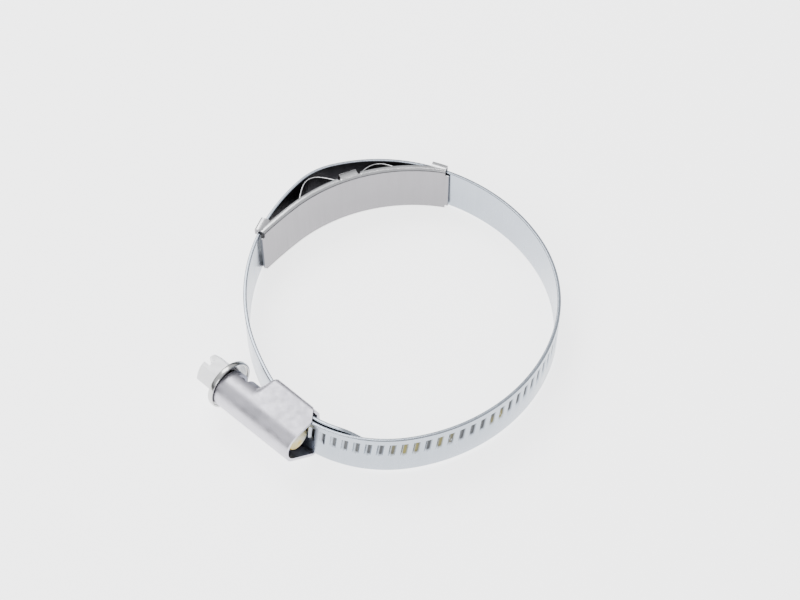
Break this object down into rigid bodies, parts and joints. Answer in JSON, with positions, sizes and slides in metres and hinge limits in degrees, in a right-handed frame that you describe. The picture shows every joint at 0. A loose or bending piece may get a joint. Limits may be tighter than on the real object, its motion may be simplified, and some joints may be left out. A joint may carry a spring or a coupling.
{
  "type": "worm-drive hose clamp",
  "caption": "Worm-drive hose clamp: slotted band loop with a screw housing, a slotted hex-head worm screw, and a sprung inner liner with a wave spring.",
  "frame": {"origin": "bottom centre of the whole clamp's box, on the surface it lies on", "axes": "+Z along the hose, +X to the right and +Y away from the viewer, with the screw housing at the front left"},
  "size_m": [0.0858, 0.0872, 0.0148],
  "materials": {
    "housing_steel": "satin zinc-plated steel sheet",
    "screw_zinc": "pale matt zinc plating",
    "band_steel": "smooth bluish zinc-plated strip",
    "liner_steel": "satin stainless strip",
    "spring_steel": "bright stainless spring strip"
  },
  "bodies": {
    "housing_side": {"housing": "housing_steel", "band_fixed_end": "band_steel"},
    "sprung_span": {"band_back_span": "band_steel", "spring_liner": "liner_steel", "wave_spring": "spring_steel"},
    "tail": {"band_slotted_tail": "band_steel"},
    "screw": {"worm_screw": "screw_zinc"}
  },
  "joints": [
    {"name": "band_flex_left", "type": "hinge", "parent": "housing_side", "child": "sprung_span", "pos_m": [-0.0309, -0.0109, 0.007], "axis": [0, 0, -1], "range_deg": [0, 8.31]},
    {"name": "band_flex_right", "type": "hinge", "parent": "sprung_span", "child": "tail", "pos_m": [0.0422, -0.00424, 0.007], "axis": [0, 0, -1], "range_deg": [0, 6.46]},
    {"name": "screw_turn", "type": "hinge", "parent": "housing_side", "child": "screw", "pos_m": [-0.02181, -0.03614, 0.0087], "axis": [0.7314, -0.682, 0], "range_deg": [0, 1080]}
  ],
  "couplings": [
    {"joint": "band_flex_right", "follows": "band_flex_left", "ratio": 0.77806},
    {"joint": "screw_turn", "follows": "band_flex_left", "ratio": 130}
  ]
}
